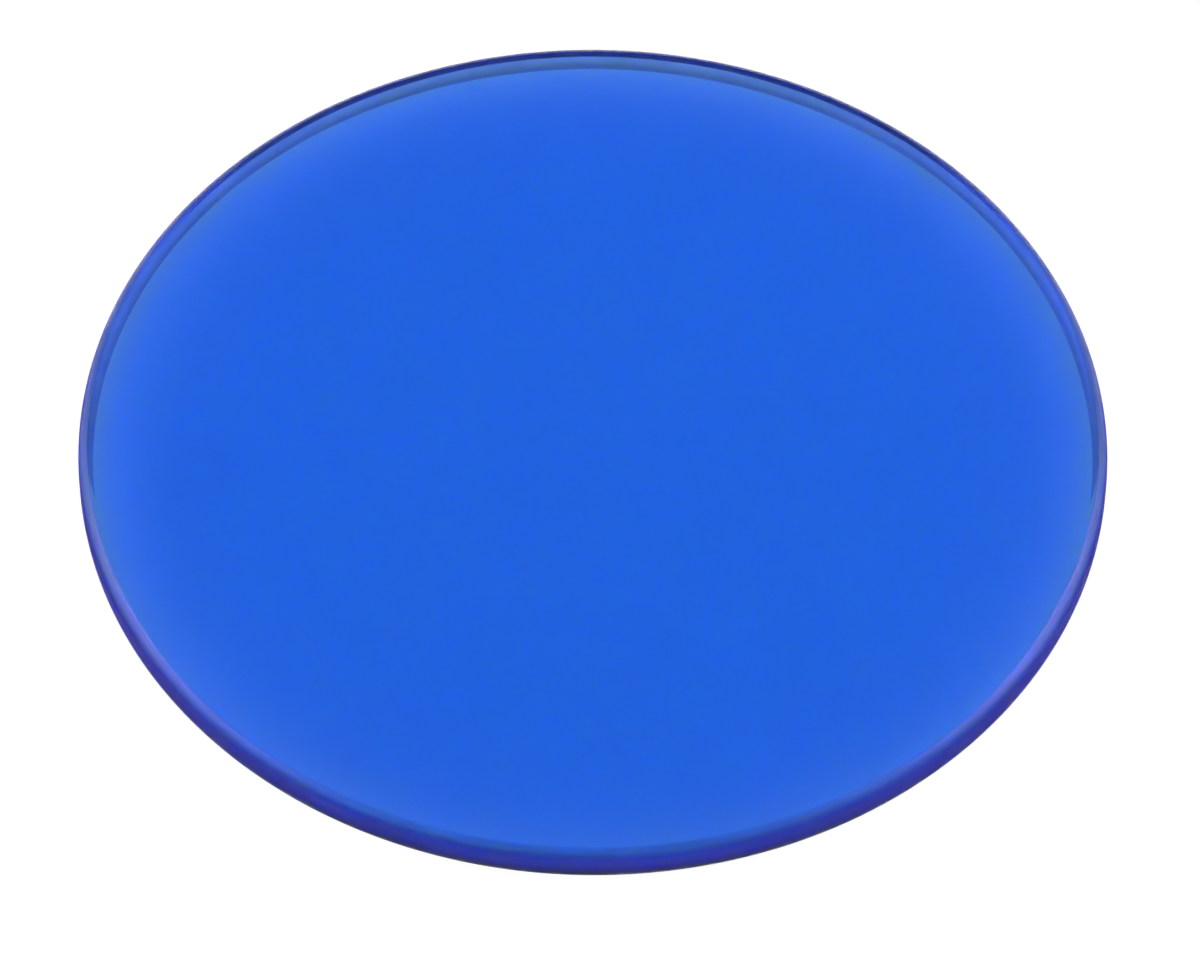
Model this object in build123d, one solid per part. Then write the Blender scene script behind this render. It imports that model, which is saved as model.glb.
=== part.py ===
"""Colour lens: one round, flat disc of blue glass, tinted all the way through.

Both faces are flat and polished. The rim is ground: a narrow straight land around the middle,
with a rounded corner above it and another below. The disc lies on its lower face at Z = 0,
with its axis along +Z. All sizes are in millimetres.
"""

import os

from build123d import *

# Driving dimensions
disc_diameter = 50.0
disc_thickness = 2.0
corner_radius = 0.65  # rounding where each face meets the rim

# A rounding can take no more than this share of the thickness, so that some straight land is left
most_rounding = 0.45


def glass_disc():
    """The whole lens: a plain cylinder of glass with both of its corners rounded over."""
    blank = Cylinder(
        radius=disc_diameter / 2,
        height=disc_thickness,
        align=(Align.CENTER, Align.CENTER, Align.MIN),
    )
    corners = blank.edges().filter_by(GeomType.CIRCLE)
    return fillet(corners, radius=min(corner_radius, most_rounding * disc_thickness))


def main():
    os.makedirs("parts", exist_ok=True)
    nodes = {"glass_disc": glass_disc()}
    for name, shape in nodes.items():
        export_step(shape, f"parts/{name}.step")
        size = shape.bounding_box().size
        print(f"{name}: {size.X:.2f} x {size.Y:.2f} x {size.Z:.2f} mm, {shape.volume:.0f} mm3")


main()
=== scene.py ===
# %% [markdown]
# # A drop-in colour lens: one disc of blue glass
#
# The object is a single round plate of glass, blue all the way through, made here 50 mm across
# and 2 mm thick. Its two faces are flat and polished. Its edge is rounded, and is taken to have
# been ground on a wheel, so it is frosted. Such a disc may sit in front of the bulb of a small
# lamp for a pond or an aquarium. Its real size and use aren't known, and both are guesses.
#
# Clear glass has almost no look of its own. What the eye sees is what lies behind it, what it
# mirrors, and how much light its body takes away. So most of this lesson is about three things:
# an exact shape, a body colour that deepens with depth, and a floor and lights that give the
# glass something to show.

# %%
import math

import bmesh
import bpy
from mathutils import Matrix, Vector


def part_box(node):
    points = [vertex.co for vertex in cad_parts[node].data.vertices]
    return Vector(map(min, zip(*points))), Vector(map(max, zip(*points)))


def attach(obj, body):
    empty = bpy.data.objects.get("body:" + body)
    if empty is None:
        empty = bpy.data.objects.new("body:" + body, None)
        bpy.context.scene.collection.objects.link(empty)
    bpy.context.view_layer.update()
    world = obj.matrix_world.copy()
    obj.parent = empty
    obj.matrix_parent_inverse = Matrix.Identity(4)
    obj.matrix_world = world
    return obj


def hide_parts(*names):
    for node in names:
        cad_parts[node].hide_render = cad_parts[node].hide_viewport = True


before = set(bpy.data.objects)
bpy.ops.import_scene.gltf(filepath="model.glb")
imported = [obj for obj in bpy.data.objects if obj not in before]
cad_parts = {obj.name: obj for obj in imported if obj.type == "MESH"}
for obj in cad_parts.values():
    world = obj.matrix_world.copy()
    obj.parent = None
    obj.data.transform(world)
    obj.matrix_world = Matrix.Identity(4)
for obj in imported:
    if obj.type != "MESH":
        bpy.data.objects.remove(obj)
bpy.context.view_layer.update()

MM = 0.001  # every length in Blender is in metres

# %% [markdown]
# ## Sizes
#
# The diameter and the thickness come from the frame. The part in the frame is made of flat
# facets, so it reaches a little further in some directions than in others. The radius used here
# is its smallest reach, which keeps the glass inside it and costs less than a hundredth of a
# millimetre. The frame is only a box, which can't say how far the corners are rounded, so that
# one size is written again.

# %%
disc_low, disc_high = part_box("glass_disc")
disc_radius = min(-disc_low.x, disc_high.x, -disc_low.y, disc_high.y)
disc_thickness = disc_high.z - disc_low.z
corner_radius = 0.65 * MM
flat_radius = disc_radius - corner_radius  # the faces are flat this far out

print(f"disc: {2 * disc_radius / MM:.2f} mm across, {disc_thickness / MM:.2f} mm thick")
print(f"its faces are flat out to a radius of {flat_radius / MM:.2f} mm")

# %% [markdown]
# ## Camera
#
# The disc is looked at from the front and well above, from arm's length through a long lens, so
# it shows almost no perspective. A camera that looked straight at the middle of the disc would
# put it in the middle of the view. Here it sits a little high and to the left, so the camera
# aims at a point just in front of the middle instead, and leans a third of a degree.

# %%
view_elevation = math.radians(52.0)
view_distance = 360 * MM
view_roll = math.radians(0.4)
side_margin = 1.168  # the view is this many times as wide as the disc
view_width = 2 * disc_radius * side_margin
aim_right = 0.35 * MM
aim_up = -1.74 * MM


def make_camera():
    """A long lens, aimed just past the middle of the disc."""
    middle = (disc_low + disc_high) / 2
    towards_camera = Vector((0, -math.cos(view_elevation), math.sin(view_elevation)))
    view_up = Vector((0, math.sin(view_elevation), math.cos(view_elevation)))
    aim = middle + Vector((aim_right, 0, 0)) + view_up * aim_up

    lens = bpy.data.cameras.new("camera")
    lens.sensor_width = 36
    lens.lens = lens.sensor_width * view_distance / view_width
    lens.clip_start = 10 * MM
    camera = bpy.data.objects.new("camera", lens)
    camera.location = middle + towards_camera * view_distance
    look = (aim - camera.location).to_track_quat("-Z", "Y").to_matrix()
    camera.rotation_euler = (look @ Matrix.Rotation(view_roll, 3, "Z")).to_euler()
    bpy.context.scene.collection.objects.link(camera)
    return camera


bpy.context.scene.camera = make_camera()
bpy.context.scene.view_settings.view_transform = "Standard"
print(f"lens: {bpy.context.scene.camera.data.lens:.0f} mm")

# %% [markdown]
# ## The outline of the edge
#
# The disc is a turned shape: one outline, spun about the upright axis. A cylinder with a bevel
# modifier would come close, but a bevel is only a few flat bands. Glass bends light by the slope
# of its surface, so every band would show as a stripe. Here the outline is worked out as two
# quarter circles with a short straight land between them, in many small steps.
#
# Each point also keeps three facts for later: which way the surface faces there, how far along
# the edge it lies, and how strongly the grinding wheel has frosted it. The wheel takes a little
# more off below, where it runs onto the flat, than above, where the first part of the corner is
# still bright.

# %%
corner_steps = 24
land_steps = 4
frost_starts_above = math.radians(9)  # how far round the upper corner the frost begins
frost_starts_below = -0.05 * MM  # the frost runs this far onto the lower flat
frost_fades_in = math.radians(13)


def smooth_step(value, low, high):
    """0 below low, 1 above high, and an even S between them."""
    share = min(max((value - low) / (high - low), 0), 1)
    return share * share * (3 - 2 * share)


def edge_outline():
    """Points from the upper face's rim, round the edge, to the lower face's rim.

    Each is (radius, height, facing, run, frost): facing is the angle of the surface above the
    horizon, run is the length along the outline so far, and frost is 0 for bright, 1 for ground.
    """
    points = []
    quarter = math.pi / 2
    top, bottom = disc_high.z, disc_low.z
    for step in range(corner_steps + 1):
        turn = quarter * step / corner_steps
        frost = smooth_step(turn, frost_starts_above, frost_starts_above + frost_fades_in)
        radius = flat_radius + corner_radius * math.sin(turn)
        height = top - corner_radius * (1 - math.cos(turn))
        points.append((radius, height, quarter - turn, corner_radius * turn, frost))
    land = disc_thickness - 2 * corner_radius
    run = corner_radius * quarter
    for step in range(1, land_steps):
        part = land * step / land_steps
        points.append((disc_radius, top - corner_radius - part, 0, run + part, 1))
    run += land
    for step in range(corner_steps + 1):
        turn = quarter * step / corner_steps
        radius = flat_radius + corner_radius * math.cos(turn)
        height = bottom + corner_radius * (1 - math.sin(turn))
        points.append((radius, height, -turn, run + corner_radius * turn, 1))
    run += corner_radius * quarter
    points.append((flat_radius + frost_starts_below / 2, bottom, -quarter, run, 1))
    points.append((flat_radius + frost_starts_below, bottom, -quarter, run, 0))
    return points


outline = edge_outline()
print(f"the edge's outline has {len(outline)} points and is {outline[-1][3] / MM:.2f} mm long")

# %% [markdown]
# ## Spinning the outline
#
# The spin takes 576 steps. At that number a step is a quarter of a millimetre, and the flat of
# each step lies less than a thousandth of a millimetre inside the true circle. Each face is
# closed by one many-sided polygon, which is perfectly flat and so can't bend what is seen
# through it.
#
# Blender would guess the shading at each corner from the faces around it, and mix the flat face
# into the first band of the edge. The outline already knows which way the surface faces, so
# those directions are given to the mesh as its own normals.

# %%
spin_steps = 576


def spin(outline_points):
    """A closed mesh of the outline spun about the upright axis, with a polygon on each end."""
    form = bmesh.new()
    rings = []
    for radius, height, *_ in outline_points:
        ring = []
        for step in range(spin_steps):
            angle = 2 * math.pi * step / spin_steps
            ring.append(form.verts.new((radius * math.cos(angle), radius * math.sin(angle), height)))
        rings.append(ring)
    for upper, lower in zip(rings, rings[1:]):
        for step in range(spin_steps):
            after = (step + 1) % spin_steps
            form.faces.new((upper[step], lower[step], lower[after], upper[after]))
    form.faces.new(rings[0])
    form.faces.new(reversed(rings[-1]))
    mesh = bpy.data.meshes.new("blue_glass_disc")
    form.to_mesh(mesh)
    form.free()
    return mesh


def set_normals(mesh, outline_points):
    """Gives each corner of the mesh the direction that the true surface faces there."""
    normals = []
    for index, vertex in enumerate(mesh.vertices):
        facing = outline_points[index // spin_steps][2]
        outward = Vector((vertex.co.x, vertex.co.y, 0)).normalized()
        normals.append(outward * math.cos(facing) + Vector((0, 0, math.sin(facing))))
    mesh.polygons.foreach_set("use_smooth", [True] * len(mesh.polygons))
    mesh.normals_split_custom_set_from_vertices(normals)


def set_edge_facts(mesh, outline_points):
    """Stores frost and edge run on the mesh, where the material can read them."""
    for name, place in (("edge_run", 3), ("frost", 4)):
        values = []
        for point in outline_points:
            values += [point[place]] * spin_steps
        mesh.attributes.new(name, "FLOAT", "POINT").data.foreach_set("value", values)


disc_mesh = spin(outline)
set_normals(disc_mesh, outline)
set_edge_facts(disc_mesh, outline)
disc = bpy.data.objects.new("blue_glass_disc", disc_mesh)
bpy.context.scene.collection.objects.link(disc)
print(f"the disc has {len(disc_mesh.vertices)} points and {len(disc_mesh.polygons)} faces")

# %% [markdown]
# ## The glass
#
# Coloured glass isn't painted. Its surface is as clear as window glass, and the colour comes
# from the body, which swallows red within a millimetre, lets some green through and keeps nearly
# all the blue. A tinted surface would give the same blue at any depth. A volume that absorbs
# light gives what real glass does: pale where the light has come a short way, and close to navy
# where it has come through the edge.
#
# Blender's absorption takes off (1 - colour) x density in each metre, so the colour and the
# density are worked out from what each metre should swallow.

# %%
swallowed_per_metre = (930.0, 430.0, 8.0)  # red, green, blue
glass_index = 1.52
densest = 1000.0


def new_node(tree, kind, **settings):
    """A node of that kind, with its own settings set."""
    node = tree.nodes.new(kind)
    for name, value in settings.items():
        setattr(node, name, value)
    return node


def make_glass():
    """Clear surface, absorbing body. Returns the material and its surface shader."""
    glass = bpy.data.materials.new("blue_glass")
    glass.use_nodes = True
    tree = glass.node_tree
    surface = tree.nodes["Principled BSDF"]
    surface.inputs["Transmission Weight"].default_value = 1.0
    surface.inputs["IOR"].default_value = glass_index
    body = new_node(tree, "ShaderNodeVolumeAbsorption")
    kept = [1 - taken / densest for taken in swallowed_per_metre]
    body.inputs["Color"].default_value = (*kept, 1)
    body.inputs["Density"].default_value = densest
    tree.links.new(body.outputs["Volume"], tree.nodes["Material Output"].inputs["Volume"])
    return glass, surface


glass, glass_surface = make_glass()

# %% [markdown]
# ## Bright faces, ground edge
#
# One material has to show polished faces and a ground edge. Two materials would be a mistake:
# light that goes in through one and comes out through the other would never be told that it has
# left the body, and would go on losing colour outside. So there is one material, and the frost
# stored on the mesh steers it.
#
# - **Roughness** is next to nothing on the faces, with a trace of haze where they were wiped.
#   The edge has three finishes: the straight land is very rough, and the corners above and
#   below it are smoother. The fades between them are measured along the outline.
# - **Base colour** is white on the faces. Each part of the edge lets only part of the light
#   through, with its own tint, and patches of grinding dust take a little more.
# - **Bump** gives the edge the fine lines that the wheel leaves. They run round the disc, so
#   the pattern is squeezed along the outline and drawn out round the circle.
#
# The tints of the edge and of the mirror reflection aren't properties of glass, which reflects
# without a tint. They were found by trial, to give the right look in this light. In other light,
# start again from white.

# %%
face_haze = 0.02  # roughness where the faces were wiped
upper_roughness = 0.36  # the upper corner, which only brushed the wheel
land_roughness = 0.90  # the straight land, ground hardest
lower_roughness = 0.36  # the lower corner
roughness_spread = 0.10  # between the smoothest and the roughest patches of the edge
upper_colour = (0.76, 0.70, 0.62, 1)
land_colour = (0.48, 0.28, 0.88, 1)
lower_colour = (0.36, 0.28, 0.60, 1)
upper_fade = (-0.90 * MM, -0.60 * MM)  # along the outline, from the middle of the edge
lower_fade = (0.21 * MM, 0.385 * MM)
dust_takes = 0.2  # the share of light that the dustiest patches take
wheel_line_spacing = 0.06 * MM
wheel_line_depth = 0.002 * MM
wheel_line_stretch = 0.03  # a small number draws the lines out round the circle
dust_patch_size = 3.0 * MM
grinding_patch_size = dust_patch_size / 4
wipe_size = 9.0 * MM
mirror_tint = (0.30, 0.09, 0.42, 1)
glass_surface.inputs["Specular Tint"].default_value = mirror_tint


def noise(tree, place, size, detail, name):
    """Even noise with features of about that size. Returns its value socket."""
    node = new_node(tree, "ShaderNodeTexNoise", label=name)
    node.inputs["Scale"].default_value = 1 / size
    node.inputs["Detail"].default_value = detail
    tree.links.new(place, node.inputs["Vector"])
    return node.outputs["Fac"]


def ramp(tree, value, to_low, to_high, from_low=0.3, from_high=0.7):
    """Spreads a value that mostly lies between from_low and from_high over to_low to to_high."""
    node = new_node(tree, "ShaderNodeMapRange")
    tree.links.new(value, node.inputs["Value"])
    node.inputs["From Min"].default_value = from_low
    node.inputs["From Max"].default_value = from_high
    node.inputs["To Min"].default_value = to_low
    node.inputs["To Max"].default_value = to_high
    return node.outputs["Result"]


def mix(tree, data_type, socket_type, share, low, high):
    """A Mix node of that type, with what it mixes linked or set. Returns its result socket."""
    node = new_node(tree, "ShaderNodeMix", data_type=data_type)
    tree.links.new(share, node.inputs["Factor"])
    ends = [s for s in node.inputs if s.enabled and s.name in ("A", "B")]
    for end, value in zip(ends, (low, high)):
        if isinstance(value, bpy.types.NodeSocket):
            tree.links.new(value, end)
        else:
            end.default_value = value
    return next(s for s in node.outputs if s.type == socket_type)


def mix_values(tree, share, low, high):
    """low where share is 0, high where it is 1. low and high are numbers or sockets."""
    return mix(tree, "FLOAT", "VALUE", share, low, high)


def mix_colours(tree, share, low, high):
    """As mix_values, for colours."""
    return mix(tree, "RGBA", "RGBA", share, low, high)


# %%
def finish_glass(material, surface):
    """Adds the frosted edge and the faint wiping haze to the glass."""
    tree = material.node_tree
    place = new_node(tree, "ShaderNodeTexCoord").outputs["Object"]
    frost = new_node(tree, "ShaderNodeAttribute", attribute_name="frost").outputs["Fac"]
    run = new_node(tree, "ShaderNodeAttribute", attribute_name="edge_run").outputs["Fac"]

    edge_middle = corner_radius * math.pi / 2 + disc_thickness / 2 - corner_radius
    from_middle = new_node(tree, "ShaderNodeMath", operation="SUBTRACT")
    tree.links.new(run, from_middle.inputs[0])
    from_middle.inputs[1].default_value = edge_middle
    on_land = ramp(tree, from_middle.outputs[0], 0.0, 1.0, *upper_fade)
    on_lower = ramp(tree, from_middle.outputs[0], 0.0, 1.0, *lower_fade)

    haze = ramp(tree, noise(tree, place, wipe_size, 3, "wiped"), 0.0, face_haze)
    uneven = ramp(
        tree,
        noise(tree, place, grinding_patch_size, 4, "grinding"),
        -roughness_spread / 2,
        roughness_spread / 2,
    )
    ground = new_node(tree, "ShaderNodeMath", operation="ADD")
    ground_finish = ramp(tree, on_land, upper_roughness, land_roughness, 0, 1)
    ground_finish = mix_values(tree, on_lower, ground_finish, lower_roughness)
    tree.links.new(ground_finish, ground.inputs[0])
    tree.links.new(uneven, ground.inputs[1])
    tree.links.new(mix_values(tree, frost, haze, ground.outputs[0]), surface.inputs["Roughness"])

    edge_colour = mix_colours(tree, on_land, upper_colour, land_colour)
    edge_colour = mix_colours(tree, on_lower, edge_colour, lower_colour)
    dust = ramp(tree, noise(tree, place, dust_patch_size, 3, "dust"), 0.0, dust_takes)
    edge_colour = mix_colours(tree, dust, edge_colour, (0.0, 0.0, 0.0, 1.0))
    colour = mix_colours(tree, frost, (1.0, 1.0, 1.0, 1.0), edge_colour)
    tree.links.new(colour, surface.inputs["Base Color"])

    drawn_out = new_node(tree, "ShaderNodeVectorMath", operation="MULTIPLY")
    drawn_out.inputs[1].default_value = (wheel_line_stretch, wheel_line_stretch, 0)
    tree.links.new(place, drawn_out.inputs[0])
    along = new_node(tree, "ShaderNodeCombineXYZ")
    tree.links.new(run, along.inputs["Z"])
    lines = new_node(tree, "ShaderNodeVectorMath", operation="ADD")
    tree.links.new(drawn_out.outputs[0], lines.inputs[0])
    tree.links.new(along.outputs[0], lines.inputs[1])
    bump = new_node(tree, "ShaderNodeBump")
    bump.inputs["Distance"].default_value = wheel_line_depth
    tree.links.new(noise(tree, lines.outputs[0], wheel_line_spacing, 2, "lines"), bump.inputs["Height"])
    tree.links.new(frost, bump.inputs["Strength"])
    tree.links.new(bump.outputs["Normal"], surface.inputs["Normal"])


finish_glass(glass, glass_surface)
disc_mesh.materials.append(glass)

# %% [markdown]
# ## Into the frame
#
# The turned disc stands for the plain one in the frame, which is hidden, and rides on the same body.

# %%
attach(disc, "root")
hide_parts("glass_disc")

# %% [markdown]
# ## The floor
#
# Glass this thin shows the floor under it, so the floor matters as much as the glass. Paper or
# white plastic lets light wander a few millimetres inside it before it comes out again. Near
# the disc's edge some of the light that comes out under the glass went in beside it and was
# never tinted. That is what makes the paler band just inside the edge, and a plain painted
# floor wouldn't have it. Red wanders furthest and blue hardly at all, and the floor gives back
# less blue than red or green. Both were found by trial: an even white floor made the glass too
# strong a blue.
#
# The floor that the camera sees straight is something else, and a trick: it is lifted most of the
# way to plain white and keeps only a trace of shadow. What is seen through the glass, or mirrored
# in it, is the floor as it is. Light that wanders is slow to work out, so it also pays to do it
# only where it shows.

# %%
floor_size = 4.0
floor_gap = 0.02 * MM  # a hair of air under the glass, so that it isn't joined to the floor
floor_colour = (0.9, 0.9, 0.75, 1)
light_wanders = 10 * MM
wander_by_colour = (0.9, 0.6, 0.08)
floor_roughness = 0.9
lift_to_white = 0.94
lift_strength = 1.03  # a little over white, so that the far floor doesn't turn grey


def make_floor_sheet():
    """A large flat sheet just under the disc."""
    form = bmesh.new()
    bmesh.ops.create_grid(form, x_segments=1, y_segments=1, size=floor_size / 2)
    mesh = bpy.data.meshes.new("floor")
    form.to_mesh(mesh)
    form.free()
    floor = bpy.data.objects.new("floor", mesh)
    floor.location.z = disc_low.z - floor_gap
    bpy.context.scene.collection.objects.link(floor)
    return floor


def make_floor_material():
    """Pale: light enters it and leaves near by. Seen straight, it is lifted nearly to white."""
    paper = bpy.data.materials.new("white_sheet")
    paper.use_nodes = True
    tree = paper.node_tree
    sheet = tree.nodes["Principled BSDF"]
    sheet.inputs["Base Color"].default_value = floor_colour
    sheet.inputs["Roughness"].default_value = floor_roughness
    sheet.inputs["Subsurface Weight"].default_value = 1.0
    sheet.inputs["Subsurface Radius"].default_value = wander_by_colour
    sheet.inputs["Subsurface Scale"].default_value = light_wanders
    sheet.subsurface_method = "BURLEY"

    matt = new_node(tree, "ShaderNodeBsdfDiffuse")
    matt.inputs["Color"].default_value = floor_colour
    white = new_node(tree, "ShaderNodeEmission")
    white.inputs["Strength"].default_value = lift_strength
    straight = new_node(tree, "ShaderNodeMixShader")
    straight.inputs["Fac"].default_value = lift_to_white
    tree.links.new(matt.outputs[0], straight.inputs[1])
    tree.links.new(white.outputs[0], straight.inputs[2])

    ray = new_node(tree, "ShaderNodeLightPath")
    either = new_node(tree, "ShaderNodeMixShader")
    tree.links.new(ray.outputs["Is Camera Ray"], either.inputs["Fac"])
    tree.links.new(sheet.outputs[0], either.inputs[1])
    tree.links.new(straight.outputs[0], either.inputs[2])
    tree.links.new(either.outputs[0], tree.nodes["Material Output"].inputs["Surface"])
    return paper


floor = make_floor_sheet()
floor.data.materials.append(make_floor_material())

# %% [markdown]
# ## The light
#
# A polished face mirrors whatever stands opposite the camera, and a lamp there would lay a white
# patch over the blue. So the two soft lamps stand left and right and only a little behind. The
# sky is dim above and bright only near the horizon, as in a room with pale walls and a dark
# ceiling.

# %%
lamp_size = 300 * MM
lamp_side = 300 * MM
lamp_height = 280 * MM
lamp_back = 80 * MM
lamp_power = 2.48
horizon_brightness = 0.9
ceiling_brightness = 0.2
horizon_ends, ceiling_starts = 0.2, 0.5  # sine of the angle above the horizon


def make_lamp(side):
    """A square soft lamp on one side and a little behind, facing the disc."""
    light = bpy.data.lights.new("side_lamp", "AREA")
    light.size = lamp_size
    light.energy = lamp_power
    lamp = bpy.data.objects.new("side_lamp", light)
    lamp.location = (side * lamp_side, lamp_back, lamp_height)
    lamp.rotation_euler = (-lamp.location).to_track_quat("-Z", "Y").to_euler()
    bpy.context.scene.collection.objects.link(lamp)


def make_surroundings():
    """Pale walls and a dim ceiling. The camera itself sees plain white behind everything."""
    world = bpy.data.worlds.new("studio")
    world.use_nodes = True
    tree = world.node_tree
    room = tree.nodes["Background"]
    room.inputs["Color"].default_value = (1, 1, 1, 1)
    direction = new_node(tree, "ShaderNodeTexCoord").outputs["Generated"]
    parts = new_node(tree, "ShaderNodeSeparateXYZ")
    tree.links.new(direction, parts.inputs[0])
    fade = ramp(
        tree, parts.outputs["Z"], horizon_brightness, ceiling_brightness, horizon_ends, ceiling_starts
    )
    fade.node.interpolation_type = "SMOOTHSTEP"
    tree.links.new(fade, room.inputs["Strength"])

    backdrop = new_node(tree, "ShaderNodeBackground")
    backdrop.inputs["Color"].default_value = (1, 1, 1, 1)
    ray = new_node(tree, "ShaderNodeLightPath")
    both = new_node(tree, "ShaderNodeMixShader")
    tree.links.new(ray.outputs["Is Camera Ray"], both.inputs["Fac"])
    tree.links.new(room.outputs[0], both.inputs[1])
    tree.links.new(backdrop.outputs[0], both.inputs[2])
    tree.links.new(both.outputs[0], tree.nodes["World Output"].inputs["Surface"])
    bpy.context.scene.world = world


make_lamp(-1)
make_lamp(1)
make_surroundings()
